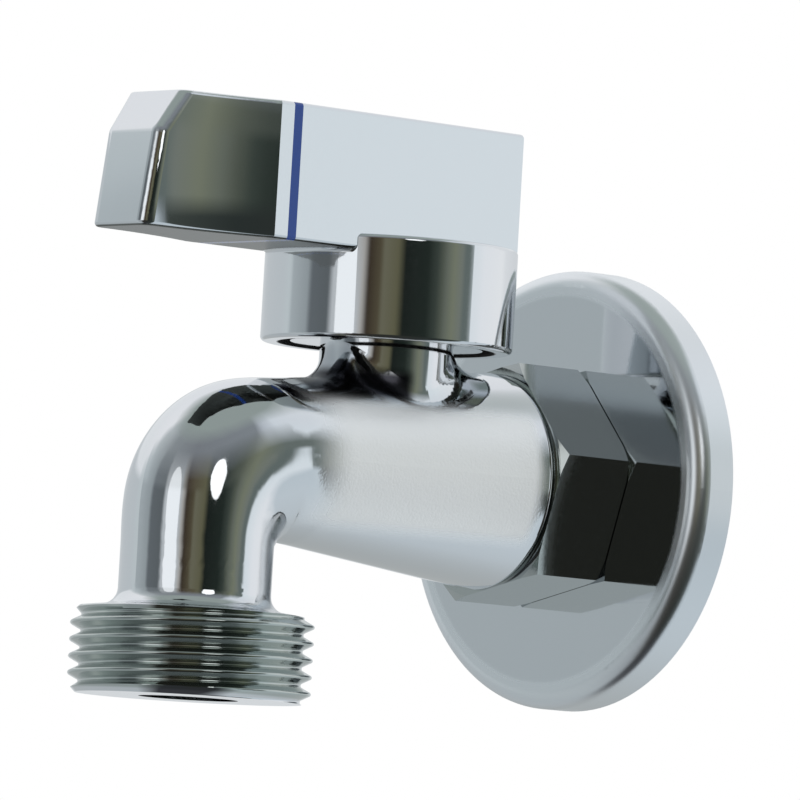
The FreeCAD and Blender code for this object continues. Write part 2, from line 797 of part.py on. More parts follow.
def draw_bar_plan(sketch):
    """Plan of the bar: hub arc behind, straight flanks, then flanks hollowed to the nose."""
    half = size.bar_half_width
    tip = size.tip_half_width
    narrowing = half - tip
    run = size.bar_length - size.flare_start
    hollow_radius = (narrowing * narrowing + run * run) / (2 * narrowing)
    rear = (size.hub_radius.number ** 2 - half.number ** 2) ** 0.5
    flare = -size.flare_start
    nose = -size.bar_length

    def spot(across, up):
        return FreeCAD.Vector(across, up, 0)

    middle = hollow_radius.number - (hollow_radius.number ** 2 - (run.number / 2) ** 2) ** 0.5
    right_middle = spot(tip.number + middle, nose.number + run.number / 2)
    left_middle = spot(-right_middle.x, right_middle.y)
    corners = [
        spot(half.number, rear),
        spot(-half.number, rear),
        spot(-half.number, flare.number),
        spot(-tip.number, nose.number),
        spot(tip.number, nose.number),
        spot(half.number, flare.number),
    ]
    behind = sketch.addGeometry(Part.Arc(corners[0], spot(0, size.hub_radius.number), corners[1]))
    left = sketch.addGeometry(Part.LineSegment(corners[1], corners[2]))
    left_hollow = sketch.addGeometry(Part.Arc(corners[2], left_middle, corners[3]))
    front = sketch.addGeometry(Part.LineSegment(corners[3], corners[4]))
    right_hollow = sketch.addGeometry(Part.Arc(corners[4], right_middle, corners[5]))
    right = sketch.addGeometry(Part.LineSegment(corners[5], corners[0]))

    for line, start_corner, end_corner in (
        (left, None, (-half, flare)),
        (front, (-tip, nose), (tip, nose)),
        (right, (half, flare), None),
    ):
        if start_corner:
            tie_point(sketch, line, 1, *start_corner)
        if end_corner:
            tie_point(sketch, line, 2, *end_corner)
    join_ends(sketch, [behind, left, left_hollow, front, right_hollow, right])
    sketch.addConstraint(Sketcher.Constraint("Coincident", behind, 3, -1, 1))
    sketch.addConstraint(Sketcher.Constraint("Vertical", left))
    sketch.addConstraint(Sketcher.Constraint("Vertical", right))
    for arc, radius in ((behind, size.hub_radius), (left_hollow, hollow_radius),
                        (right_hollow, hollow_radius)):
        index = sketch.addConstraint(Sketcher.Constraint("Radius", arc, radius.number))
        sketch.setExpression(f"Constraints[{index}]", radius.text)


def join_ends(sketch, pieces):
    """Close a run of lines and arcs by making neighbouring ends coincide."""
    near = 0.001
    for index, piece in enumerate(pieces):
        following = pieces[(index + 1) % len(pieces)]
        for end in (1, 2):
            for start in (1, 2):
                gap = sketch.getPoint(piece, end) - sketch.getPoint(following, start)
                if gap.Length < near:
                    sketch.addConstraint(
                        Sketcher.Constraint("Coincident", piece, end, following, start))


def is_sharp(shape, edge):
    """Whether the two faces beside an edge meet at an angle."""
    tangent = 0.99
    middle = edge.valueAt(sum(edge.ParameterRange) / 2)
    sides = shape.ancestorsOfType(edge, Part.Face)
    normals = [face.normalAt(*face.Surface.parameter(middle)) for face in sides]
    return len(normals) == 2 and normals[0].dot(normals[1]) < tangent


def nose_crease_names(shape):
    """The level edge across the nose, where its end face meets the bevel."""
    height = size.bar_top_front.number - size.bar_nose_height.number
    near = 0.01

    def wanted(edge):
        return max(abs(edge.BoundBox.ZMin - height), abs(edge.BoundBox.ZMax - height)) < near

    return edge_names(shape, wanted)


def nose_edge_names(shape):
    """The upright edges on both sides of the bar's nose."""
    level = 0.01
    front = -size.flare_start.number - level

    def wanted(edge):
        box = edge.BoundBox
        return box.ZLength > level and box.YMax < front and is_sharp(shape, edge)

    return edge_names(shape, wanted)


def bar_edge_names(shape):
    """The edges of the bar that a hand meets, without the creases and the upright rear edges."""
    near = 0.01
    lowest = size.bar_bottom.number - near

    def wanted(edge):
        box = edge.BoundBox
        if box.ZMin < lowest or not is_sharp(shape, edge):
            return False
        upright = box.ZLength > near and box.XLength < near and box.YLength < near
        on_hub = box.YMin > -size.hub_radius.number and box.ZMax < size.hub_top.number + near
        return not on_hub and not upright

    return edge_names(shape, wanted)


def make_cold_mark_band(casting):
    """A coloured ring let flush into the bar, cut from the bar's own outline."""
    middle = spindle + size.band_offset + size.band_width / 2
    slab = box("band_slab", 2 * size.hub_radius, size.band_width,
               size.bar_top_front - size.bar_bottom + 2 * TOOL_OVERRUN,
               size.bar_bottom - TOOL_OVERRUN, middle)
    ring = doc.addObject("Part::MultiCommon", "band_outline")
    ring.Shapes = [casting, slab]
    climb = size.bar_top_front - size.bar_top_rear
    run = size.hub_radius + TOOL_OVERRUN + bar_top_length
    along = size.hub_radius + TOOL_OVERRUN + size.band_offset
    top_here = size.bar_top_rear + climb * along / run
    depth = size.band_depth
    core = box("band_core", 2 * (size.bar_half_width - depth), size.band_width + 2 * TOOL_OVERRUN,
               top_here - size.bar_bottom - 2 * depth, size.bar_bottom + depth, middle)
    return cut("cold_mark_band", ring, [core])


def make_lever_handle(casting, band):
    """The casting with its stop, driving socket, screw well and band groove."""
    clear_of_stop = size.stop_angle + size.lever_turn_angle + 2 * size.stop_spare_angle
    start = (size.stop_centre_angle + size.stop_angle / 2 + size.lever_turn_angle
             + size.stop_spare_angle)
    height = size.hub_ceiling - size.stop_bottom + TOOL_OVERRUN
    block = sector("lever_stop_block", skirt_radius + size.skirt_wall / 2, size.stop_bottom,
                   height, start, FULL_TURN - clear_of_stop)
    inside = cylinder("lever_stop_bore", size.stop_inner_radius, size.stop_bottom - TOOL_OVERRUN,
                      height + 2 * TOOL_OVERRUN, reach=spindle)
    stop = cut("lever_stop", block, [inside])
    solid = fused("lever_solid", [casting, stop])
    square = size.stem_square + 2 * size.socket_clearance
    socket = box("lever_socket", square, square, size.socket_top - size.hub_ceiling + TOOL_OVERRUN,
                 size.hub_ceiling - TOOL_OVERRUN, spindle)
    hole = cylinder("lever_screw_hole", size.screw_radius + size.screw_clearance, size.socket_top,
                    size.screw_seat - size.socket_top, reach=spindle)
    well = cylinder("lever_screw_well", size.screw_well_radius, size.screw_seat,
                    size.bar_top_front - size.screw_seat + TOOL_OVERRUN, reach=spindle)
    return cut("lever_handle", solid, [socket, hole, well, band])


def make_lock_washer():
    washer = turned("lock_washer", [
        (size.screw_radius + size.screw_clearance, size.screw_seat),
        (size.screw_head_radius, size.screw_seat),
        (size.screw_head_radius, size.screw_seat + size.lock_washer_thickness),
        (size.screw_radius + size.screw_clearance, size.screw_seat + size.lock_washer_thickness),
    ])
    place(washer, reach=spindle)
    return washer


def make_handle_screw():
    """A socket head screw that holds the lever down on the stem."""
    under_head = size.screw_seat + size.lock_washer_thickness
    top = under_head + size.screw_head_height
    screw = turned("handle_screw_blank", [
        (0, under_head - size.screw_length),
        (size.screw_radius, under_head - size.screw_length),
        (size.screw_radius, under_head),
        (size.screw_head_radius, under_head),
        (size.screw_head_radius, top),
        (0, top),
    ])
    place(screw, reach=spindle)
    socket = hexagon("handle_screw_socket", 2 * size.screw_socket_radius,
                     size.screw_socket_depth + TOOL_OVERRUN, top - size.screw_socket_depth,
                     reach=spindle)
    return cut("handle_screw", screw, [socket])


def make_screw_cap():
    """A small plug that closes the screw's well level with the bar."""
    radius = size.screw_well_radius - size.cap_clearance
    cap = turned("screw_cap", [
        (0, size.cap_bottom),
        (radius, size.cap_bottom),
        (radius, size.cap_top - size.cap_edge),
        (radius - size.cap_edge, size.cap_top),
        (0, size.cap_top),
    ])
    place(cap, reach=spindle)
    return cap


casting = lever_casting()
band = make_cold_mark_band(casting)
NODES = {
    "rosette": make_rosette(),
    "inlet_nipple": make_inlet_nipple(),
    "nipple_seal": make_nipple_seal(),
    "body": make_body(),
    "seat_inlet": make_seat("seat_inlet", -1),
    "seat_outlet": make_seat("seat_outlet", 1),
    "ball": make_ball(),
    "stem": make_stem(),
    "stem_ring_lower": make_stem_ring("stem_ring_lower", size.lower_groove_bottom),
    "stem_ring_upper": make_stem_ring("stem_ring_upper", size.upper_groove_bottom),
    "thrust_washer": make_thrust_washer(),
    "gland_nut": make_gland_nut(),
    "cold_mark_band": band,
    "lever_handle": make_lever_handle(casting, band),
    "lock_washer": make_lock_washer(),
    "handle_screw": make_handle_screw(),
    "screw_cap": make_screw_cap(),
}
doc.recompute()

faults = [item.Name for item in doc.Objects if {"Invalid", "Error"} & set(item.State)]
for name, node in NODES.items():
    node.Label = name
    shape = node.Shape
    if shape.isNull() or not shape.isValid() or len(shape.Solids) != 1:
        faults.append(name)
        continue
    low_high = shape.BoundBox
    print(f"{name:18s} {shape.Volume:10.2f} mm3, {len(shape.Faces):3d} faces,"
          f" x {low_high.XMin:7.2f} {low_high.XMax:7.2f}, y {low_high.YMin:7.2f} {low_high.YMax:7.2f},"
          f" z {low_high.ZMin:7.2f} {low_high.ZMax:7.2f}")
if faults:
    raise SystemExit("these did not build: " + ", ".join(faults))

os.makedirs("parts", exist_ok=True)
for name, node in NODES.items():
    node.Shape.exportStep(f"parts/{name}.step")
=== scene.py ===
import bmesh
import bpy
import json
import math
from mathutils import Matrix, Vector
from mathutils.kdtree import KDTree

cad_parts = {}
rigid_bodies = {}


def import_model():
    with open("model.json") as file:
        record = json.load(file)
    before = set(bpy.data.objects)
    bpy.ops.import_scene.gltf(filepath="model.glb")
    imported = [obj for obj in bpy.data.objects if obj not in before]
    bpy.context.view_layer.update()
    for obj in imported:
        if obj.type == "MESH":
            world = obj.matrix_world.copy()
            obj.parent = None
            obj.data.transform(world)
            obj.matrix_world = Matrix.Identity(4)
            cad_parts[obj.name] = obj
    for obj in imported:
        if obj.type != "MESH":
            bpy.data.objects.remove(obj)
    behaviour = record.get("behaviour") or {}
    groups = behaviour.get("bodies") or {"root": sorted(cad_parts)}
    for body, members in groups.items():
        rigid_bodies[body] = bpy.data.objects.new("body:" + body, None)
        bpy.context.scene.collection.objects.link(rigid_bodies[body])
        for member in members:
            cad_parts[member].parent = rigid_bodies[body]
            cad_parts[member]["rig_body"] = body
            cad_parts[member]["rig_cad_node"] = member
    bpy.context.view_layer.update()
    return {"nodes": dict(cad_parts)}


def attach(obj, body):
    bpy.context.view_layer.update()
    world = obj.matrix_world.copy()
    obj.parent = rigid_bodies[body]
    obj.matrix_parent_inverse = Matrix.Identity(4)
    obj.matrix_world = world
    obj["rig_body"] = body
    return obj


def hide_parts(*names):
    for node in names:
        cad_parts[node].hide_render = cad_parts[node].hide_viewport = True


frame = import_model()

MM = 0.001

# Camera, fitted to the photograph: the compass angle and the angle above the horizon that it
# looks from, how far it is turned about its own axis, where it stands in metres, its focal
# length in pixels of a square picture, and the nearest and furthest that it sees
CAMERA_AZIMUTH = 49.60
CAMERA_ELEVATION = -3.74
CAMERA_ROLL = 3.36
CAMERA_PLACE = (0.85903, -0.75895, -0.06577)
PICTURE_WIDTH = 800
FOCAL_PIXELS = 10275
SENSOR_WIDTH = 36
NEAREST, FURTHEST = 0.05, 20

# Pipe threads, both G 1/2 and G 3/4: 14 turns to the inch, 55 degree form, rounded at the
# crests and in the grooves, with some turns to spare at each end before they are cut to length
THREAD_PITCH = 25.4 / 14 * MM
THREAD_DEPTH = 0.6403 * THREAD_PITCH
THREAD_ROUNDING = 0.1373 * THREAD_PITCH
THREAD_HALF_ANGLE = 27.5
SPARE_TURNS = 2

# How finely a thread is drawn: steps over each rounding, and steps round each turn
TIP_STEPS = 3
THREAD_STEPS = 128

# Points closer together than the weld become one, and places closer than a hair are the same
WELD = 0.0005 * MM
HAIR = 0.01 * MM

# Two faces are one flat face if the cosine of the angle between them is above this
SAME_FACE = 0.9998

# Edges of a threaded piece that turn by less than this, in degrees, are shaded smooth
SMOOTH_BELOW = 32

# The hose thread under the outlet: its upright axis, heights of its two ends, and radii of its
# crests, of the crests at each end, and of the plain rim that the thread runs out onto
OUTLET_REACH = 55.4 * MM
HOSE_THREAD = {"crest": 13.22 * MM, "low": -26.8 * MM, "high": -17.4 * MM,
               "low_crest": 12.32 * MM, "high_crest": 12.32 * MM}
HOSE_RIM = 11.9 * MM

# Where the hose thread has its own finish, just short of its two ends
CUT_BOTTOM = HOSE_THREAD["low"] + 0.6 * MM
CUT_TOP = HOSE_THREAD["high"] - 0.2 * MM
CUT_FADE = 0.3 * MM

# The thread that goes into the wall, along the axis of the tap, the radius and the start of the
# plain groove on its room side, and the radius that the groove and the far end are cut down to
WALL_THREAD = {"crest": 10.48 * MM, "low": -3.0 * MM, "high": 12.0 * MM,
               "low_crest": 9.9 * MM, "high_crest": 9.48 * MM}
WALL_RELIEF = 9.78 * MM
WALL_RELIEF_START = -5.3 * MM
WALL_RIM = 9.15 * MM

# The satin field on each side of the barrel, along Y and up and down from the axis
SATIN_FRONT = -41 * MM
SATIN_REAR = -18 * MM
SATIN_HALF_HEIGHT = 5.8 * MM
SATIN_FADE = 2.2 * MM
SATIN_RUN_OUT = 7.0 * MM

# The painted dark reflection in front of the neck, along Y and upwards
FOOT_FRONT = -44 * MM
FOOT_REAR = -33 * MM
FOOT_BOTTOM = 8.0 * MM
FOOT_TOP = 9.8 * MM
FOOT_FADE = 1.4 * MM

# The crease inside the elbow, along Y and downwards
CREASE_FRONT = -52.8 * MM
CREASE_REAR = -43.5 * MM
CREASE_BOTTOM = -17 * MM
CREASE_TOP = -7.6 * MM
CREASE_FADE = 1.2 * MM

# Where the rolled edge of the rosette starts, from the axis, and the fade just inside it
ROLLED_RIM = 22.0 * MM
RIM_FADE = 0.8 * MM

# The upright axis that the lever turns on, and the radius of the lever's hub round it
SPINDLE_REACH = 30.3 * MM
HUB_RADIUS = 13.9 * MM

# The lower and upper faces of the lever's bar
BAR_BOTTOM = 23.2 * MM
BAR_TOP = 38.2 * MM

# The painted shade inside the lever's skirt, out to its wall and up to the stop block
SKIRT_INSIDE = 11.9 * MM
SKIRT_TOP = 14.5 * MM
SKIRT_FADE_OUT = 0.3 * MM
SKIRT_FADE_UP = 0.2 * MM

# The painted shade on the underside of the lever's bar, from just outside the hub
UNDERSIDE_START = HUB_RADIUS + 0.6 * MM
UNDERSIDE_TOP = BAR_BOTTOM + 0.1 * MM
UNDERSIDE_FADE_IN = 0.3 * MM
UNDERSIDE_FADE_UP = 0.15 * MM

# The flared sides of the lever: where they start along Y, and how far the surface leans at
# their lower and upper edges, as a slope
FLARE_START = -53.6 * MM
FLARE_CROWN = 0.2

# Length in mm of the waves that a buffing wheel leaves
BUFFING_WAVE = 9.0

# Spacing and depth in mm of the hairlines that wiping leaves, drawn several times as coarse as
# real ones so that they show
HAIRLINE_SPACING = 0.35
HAIRLINE_DEPTH = 0.0006

# Grain of a blasted surface in mm, drawn about twice as coarse as real grit so it shows
BLAST_GRAIN = 0.3

# Depth in mm of the rings that a lathe leaves, and the size of the clouds in their sheen
RING_DEPTH = 0.01
SHEEN_CLOUD = 2.5

# Spacing and depth in mm of the grain of a polymer, drawn coarser than real so that it shows
POLYMER_GRAIN = 0.25
POLYMER_GRAIN_DEPTH = 0.01

# Spacing and depth in mm of the stipple that a paint roller leaves
STIPPLE = 2.0
STIPPLE_DEPTH = 0.1

# How far apart, in metres, the bands of a Wave texture lie at a scale of 1
WAVE_SPACING = 0.31

# The values that the hairlines' noise mostly keeps between
HAIRLINE_NOISE = (0.35, 0.75)

# The clearest and the dullest places of each kind of surface, as shares of its roughness
PLATED_SHEEN = (0.7, 1.7)
TURNED_SHEEN = (0.8, 1.3)
POLYMER_SHEEN = (0.85, 1.2)

# A length that reaches past the whole tap
FAR = 0.5

# Places of the colour sockets on a Mix node, and of the vector limits on a Map Range node
MIX_FIRST, MIX_SECOND, MIX_RESULT = 6, 7, 2
RANGE_FROM, RANGE_TO = 7, 8

# The spot that the softboxes face
TAP_MIDDLE = (0, -0.03, 0)

# How brightly the even light falls on the tap, where 1 is white
EVEN_LIGHT = 0.92

# The round board under the tap
FLOOR_HEIGHT = -120 * MM
FLOOR_RADIUS = 4.0
FLOOR_THICKNESS = 12 * MM
FLOOR_ROUNDING = 3 * MM
FLOOR_SIDES = 96


def linear(colour):
    """A colour given as an sRGB hex value, turned to the linear one that a socket takes."""
    parts = [int(colour[at:at + 2], 16) / 255 for at in (1, 3, 5)]
    return [p / 12.92 if p <= 0.04045 else ((p + 0.055) / 1.055) ** 2.4 for p in parts] + [1]


def add_node(tree, kind, links=(), inputs=(), **settings):
    """Add a node with its settings, socket values and incoming links."""
    node = tree.nodes.new(kind)
    for name, value in settings.items():
        setattr(node, name, value)
    for socket, value in inputs:
        node.inputs[socket].default_value = value
    for socket, source in links:
        tree.links.new(source, node.inputs[socket])
    return node


def new_material(name):
    material = bpy.data.materials.new(name)
    material.use_nodes = True
    material.node_tree.nodes.clear()
    return material, material.node_tree


def ramp_stops(node, stops):
    """Give a colour ramp its stops, each a place from 0 to 1 and a hex colour."""
    elements = node.color_ramp.elements
    while len(elements) > 1:
        elements.remove(elements[-1])
    for index, (place, colour) in enumerate(stops):
        element = elements[0] if index == 0 else elements.new(place)
        element.position = place
        element.color = linear(colour)


def box_share(tree, point, low, high, low_edge, high_edge):
    """A share of 1 for points inside a box, fading to 0 over an edge outside each side."""
    sides = []
    for inside, outside in ((low, Vector(low) - Vector(low_edge)),
                            (high, Vector(high) + Vector(high_edge))):
        sides.append(add_node(tree, "ShaderNodeMapRange", [("Vector", point)],
                              [(RANGE_FROM, outside), (RANGE_TO, inside)],
                              data_type="FLOAT_VECTOR", interpolation_type="SMOOTHSTEP"))
    both = add_node(tree, "ShaderNodeVectorMath",
                    [(0, sides[0].outputs["Vector"]), (1, sides[1].outputs["Vector"])],
                    operation="MULTIPLY")
    axes = add_node(tree, "ShaderNodeSeparateXYZ", [("Vector", both.outputs["Vector"])])
    level = add_node(tree, "ShaderNodeMath", [(0, axes.outputs["X"]), (1, axes.outputs["Y"])],
                     operation="MULTIPLY")
    share = add_node(tree, "ShaderNodeMath", [(0, level.outputs["Value"]), (1, axes.outputs["Z"])],
                     operation="MULTIPLY")
    return share.outputs["Value"]


def about_spindle(tree, place):
    """A point's distance from the upright axis that the lever turns on, and its height."""
    centred = add_node(tree, "ShaderNodeVectorMath",
                       [(0, place.outputs["Object"])], [(1, (0, SPINDLE_REACH, 0))],
                       operation="ADD")
    level = add_node(tree, "ShaderNodeVectorMath", [(0, centred.outputs["Vector"])],
                     [(1, (1, 1, 0))], operation="MULTIPLY")
    away = add_node(tree, "ShaderNodeVectorMath", [(0, level.outputs["Vector"])],
                    operation="LENGTH")
    spot = add_node(tree, "ShaderNodeSeparateXYZ", [("Vector", place.outputs["Object"])])
    both = add_node(tree, "ShaderNodeCombineXYZ",
                    [("X", away.outputs["Value"]), ("Z", spot.outputs["Z"])])
    return both.outputs["Vector"]


def satin_share(tree, place):
    """Where the sides of the barrel are blasted satin, with a long soft run-out to the elbow."""
    return box_share(tree, place.outputs["Object"],
                     (-FAR, SATIN_FRONT, -SATIN_HALF_HEIGHT), (FAR, SATIN_REAR, SATIN_HALF_HEIGHT),
                     (HAIR, SATIN_RUN_OUT, SATIN_FADE), (HAIR, SATIN_FADE, SATIN_FADE))


def painted_dark_reflection_share(tree, place):
    """Where a dark reflection of the hub's underside is painted, in front of the neck foot."""
    edge = (HAIR, FOOT_FADE, FOOT_FADE)
    return box_share(tree, place.outputs["Object"], (-FAR, FOOT_FRONT, FOOT_BOTTOM),
                     (FAR, FOOT_REAR, FOOT_TOP), edge, edge)


def crease_share(tree, place):
    """Where the elbow folds in on itself and keeps the softer shine of the casting."""
    edge = (HAIR, CREASE_FADE, CREASE_FADE)
    return box_share(tree, place.outputs["Object"], (-FAR, CREASE_FRONT, CREASE_BOTTOM),
                     (FAR, CREASE_REAR, CREASE_TOP), edge, edge)


def thread_share(tree, place):
    """Where the hose thread is cut, from its first groove down to its last."""
    edge = (HAIR, HAIR, CUT_FADE)
    return box_share(tree, place.outputs["Object"], (-FAR, -FAR, CUT_BOTTOM),
                     (FAR, FAR, CUT_TOP), edge, edge)


def painted_shade_skirt_share(tree, place):
    """Where shade is painted inside the lever's skirt, up to its stop block."""
    edge = (SKIRT_FADE_OUT, HAIR, SKIRT_FADE_UP)
    return box_share(tree, about_spindle(tree, place), (-FAR, -FAR, -FAR),
                     (SKIRT_INSIDE, FAR, SKIRT_TOP), edge, edge)


def painted_shade_underside_share(tree, place):
    """Where shade is painted on the underside of the lever's bar, clear of the hub."""
    edge = (UNDERSIDE_FADE_IN, HAIR, UNDERSIDE_FADE_UP)
    return box_share(tree, about_spindle(tree, place), (UNDERSIDE_START, -FAR, -FAR),
                     (FAR, FAR, UNDERSIDE_TOP), edge, edge)


def rim_share(tree, place):
    """Where the rosette's edge is rolled over: a ring about the axis of the tap."""
    level = add_node(tree, "ShaderNodeVectorMath", [(0, place.outputs["Object"])],
                     [(1, (1, 0, 1))], operation="MULTIPLY")
    away = add_node(tree, "ShaderNodeVectorMath", [(0, level.outputs["Vector"])],
                    operation="LENGTH")
    ring = add_node(tree, "ShaderNodeMapRange", [("Value", away.outputs["Value"])],
                    [("From Min", ROLLED_RIM - RIM_FADE), ("From Max", ROLLED_RIM)],
                    interpolation_type="SMOOTHSTEP")
    return ring.outputs["Result"]


def crowned_normal(tree, place):
    """The normal of a flared side that bulges a little between its lower and upper edges."""
    spot = add_node(tree, "ShaderNodeSeparateXYZ", [("Vector", place.outputs["Object"])])
    rise = add_node(tree, "ShaderNodeMapRange", [("Value", spot.outputs["Z"])],
                    [("From Min", BAR_BOTTOM), ("From Max", BAR_TOP),
                     ("To Min", -FLARE_CROWN), ("To Max", FLARE_CROWN)])
    flared = add_node(tree, "ShaderNodeMath", [(0, spot.outputs["Y"])], [(1, FLARE_START)],
                      operation="LESS_THAN")
    tilt = add_node(tree, "ShaderNodeMath",
                    [(0, rise.outputs["Result"]), (1, flared.outputs["Value"])],
                    operation="MULTIPLY")
    lean = add_node(tree, "ShaderNodeCombineXYZ", [("Z", tilt.outputs["Value"])])
    plain = add_node(tree, "ShaderNodeNewGeometry")
    leaning = add_node(tree, "ShaderNodeVectorMath",
                       [(0, plain.outputs["Normal"]), (1, lean.outputs["Vector"])],
                       operation="ADD")
    crowned = add_node(tree, "ShaderNodeVectorMath", [(0, leaning.outputs["Vector"])],
                       operation="NORMALIZE")
    return crowned.outputs["Vector"]


def polished_chrome(name, tint="#DDE0E3", wave_depth_mm=0.012, roughness=0.05, zones=(),
                    crowned_flare=False):
    """Bright decorative plating over buffed metal.

    The plate is hard and mirror-like. The buffing under it leaves long shallow waves, and use
    leaves a haze of hairlines, so reflections are clear but not perfectly straight. Each zone is
    a place where the finish changes or where shade is painted in, with a function that finds it.
    The lever's flared sides are polished slightly crowned, so what they mirror changes from their
    lower to their upper edges.
    """
    material, tree = new_material(name)
    place = add_node(tree, "ShaderNodeTexCoord")
    waves = add_node(tree, "ShaderNodeTexNoise", [("Vector", place.outputs["Object"])],
                     [("Scale", 1 / (BUFFING_WAVE * MM)), ("Detail", 1.0), ("Roughness", 0.4)])
    hairlines = add_node(tree, "ShaderNodeTexNoise", [("Vector", place.outputs["Object"])],
                         [("Scale", 1 / (HAIRLINE_SPACING * MM)), ("Detail", 4.0),
                          ("Roughness", 0.7)])
    haze = add_node(tree, "ShaderNodeMapRange", [("Value", hairlines.outputs["Fac"])],
                    [("From Min", HAIRLINE_NOISE[0]), ("From Max", HAIRLINE_NOISE[1]),
                     ("To Min", roughness * PLATED_SHEEN[0]),
                     ("To Max", roughness * PLATED_SHEEN[1])])
    surface = [("Height", waves.outputs["Fac"])]
    if crowned_flare:
        surface.append(("Normal", crowned_normal(tree, place)))
    wavy = add_node(tree, "ShaderNodeBump", surface,
                    [("Strength", 1.0), ("Distance", wave_depth_mm * MM)])
    fine = add_node(tree, "ShaderNodeBump",
                    [("Height", hairlines.outputs["Fac"]), ("Normal", wavy.outputs["Normal"])],
                    [("Strength", 0.4), ("Distance", HAIRLINE_DEPTH * MM)])
    links = {"Roughness": haze.outputs["Result"], "Normal": fine.outputs["Normal"]}
    values = {"Base Color": linear(tint), "Metallic": 1.0}
    for zone in zones:
        share = zone["find"](tree, place)
        colour = add_node(tree, "ShaderNodeMix", [("Factor", share)],
                          [(MIX_FIRST, linear(tint)), (MIX_SECOND, linear(zone["tint"]))],
                          data_type="RGBA")
        if "Base Color" in links:
            tree.links.new(links["Base Color"], colour.inputs[MIX_FIRST])
        links["Base Color"] = colour.outputs[MIX_RESULT]
        values.pop("Base Color", None)
        dull = add_node(tree, "ShaderNodeMath", [(0, share)], [(1, zone["roughness"])],
                        operation="MULTIPLY")
        rough = add_node(tree, "ShaderNodeMath",
                         [(0, links["Roughness"]), (1, dull.outputs["Value"])],
                         operation="MAXIMUM")
        links["Roughness"] = rough.outputs["Value"]
        if zone["metallic"] < 1:
            metal = add_node(tree, "ShaderNodeMapRange", [("Value", share)],
                             [("To Min", 1.0), ("To Max", zone["metallic"])])
            links["Metallic"] = metal.outputs["Result"]
            values.pop("Metallic", None)
        if zone["grain_mm"]:
            grain = add_node(tree, "ShaderNodeTexNoise", [("Vector", place.outputs["Object"])],
                             [("Scale", 1 / (BLAST_GRAIN * MM)), ("Detail", 3.0)])
            pits = add_node(tree, "ShaderNodeBump",
                            [("Strength", share), ("Height", grain.outputs["Fac"]),
                             ("Normal", links["Normal"])],
                            [("Distance", zone["grain_mm"] * MM)])
            links["Normal"] = pits.outputs["Normal"]
    shader = add_node(tree, "ShaderNodeBsdfPrincipled", list(links.items()), list(values.items()))
    add_node(tree, "ShaderNodeOutputMaterial", [("Surface", shader.outputs["BSDF"])])
    return material


def turned_metal(name, colour, roughness, ring_mm):
    """Metal left as the lathe made it: fine rings and a slightly uneven sheen."""
    material, tree = new_material(name)
    place = add_node(tree, "ShaderNodeTexCoord")
    rings = add_node(tree, "ShaderNodeTexWave", [("Vector", place.outputs["Object"])],
                     [("Scale", WAVE_SPACING / (ring_mm * MM)), ("Distortion", 0.6)],
                     bands_direction="Z")
    cloud = add_node(tree, "ShaderNodeTexNoise", [("Vector", place.outputs["Object"])],
                     [("Scale", 1 / (SHEEN_CLOUD * MM)), ("Detail", 3.0)])
    sheen = add_node(tree, "ShaderNodeMapRange", [("Value", cloud.outputs["Fac"])],
                     [("To Min", roughness * TURNED_SHEEN[0]),
                      ("To Max", roughness * TURNED_SHEEN[1])])
    grooves = add_node(tree, "ShaderNodeBump", [("Height", rings.outputs["Fac"])],
                       [("Strength", 0.5), ("Distance", RING_DEPTH * MM)])
    shader = add_node(tree, "ShaderNodeBsdfPrincipled",
                      [("Roughness", sheen.outputs["Result"]), ("Normal", grooves.outputs["Normal"])],
                      [("Base Color", linear(colour)), ("Metallic", 1.0)])
    add_node(tree, "ShaderNodeOutputMaterial", [("Surface", shader.outputs["BSDF"])])
    return material


def polymer(name, colour, roughness):
    """Moulded or machined polymer: an even colour, a soft sheen and a fine grain."""
    material, tree = new_material(name)
    place = add_node(tree, "ShaderNodeTexCoord")
    grain = add_node(tree, "ShaderNodeTexNoise", [("Vector", place.outputs["Object"])],
                     [("Scale", 1 / (POLYMER_GRAIN * MM)), ("Detail", 3.0)])
    sheen = add_node(tree, "ShaderNodeMapRange", [("Value", grain.outputs["Fac"])],
                     [("To Min", roughness * POLYMER_SHEEN[0]),
                      ("To Max", roughness * POLYMER_SHEEN[1])])
    pores = add_node(tree, "ShaderNodeBump", [("Height", grain.outputs["Fac"])],
                     [("Strength", 0.3), ("Distance", POLYMER_GRAIN_DEPTH * MM)])
    shader = add_node(tree, "ShaderNodeBsdfPrincipled",
                      [("Roughness", sheen.outputs["Result"]), ("Normal", pores.outputs["Normal"])],
                      [("Base Color", linear(colour)), ("IOR", 1.5)])
    add_node(tree, "ShaderNodeOutputMaterial", [("Surface", shader.outputs["BSDF"])])
    return material


def painted_board(name, colour):
    """Board rolled with matt white emulsion: no shine, and a faint roller stipple."""
    material, tree = new_material(name)
    place = add_node(tree, "ShaderNodeTexCoord")
    stipple = add_node(tree, "ShaderNodeTexNoise", [("Vector", place.outputs["Object"])],
                       [("Scale", 1 / (STIPPLE * MM)), ("Detail", 2.0)])
    relief = add_node(tree, "ShaderNodeBump", [("Height", stipple.outputs["Fac"])],
                      [("Strength", 0.2), ("Distance", STIPPLE_DEPTH * MM)])
    shader = add_node(tree, "ShaderNodeBsdfPrincipled", [("Normal", relief.outputs["Normal"])],
                      [("Base Color", linear(colour)), ("Roughness", 0.85), ("IOR", 1.5)])
    add_node(tree, "ShaderNodeOutputMaterial", [("Surface", shader.outputs["BSDF"])])
    return material


def finish_with(thing, material):
    thing.data.materials.clear()
    thing.data.materials.append(material)


def deselect_all():
    if bpy.context.object and bpy.context.object.mode != "OBJECT":
        bpy.ops.object.mode_set(mode="OBJECT")
    bpy.ops.object.select_all(action="DESELECT")


def make_only(thing):
    deselect_all()
    thing.select_set(True)
    bpy.context.view_layer.objects.active = thing


def smooth(thing, degrees):
    """Smooth shading that keeps edges sharper than the angle crisp."""
    make_only(thing)
    bpy.ops.object.shade_smooth_by_angle(angle=math.radians(degrees))


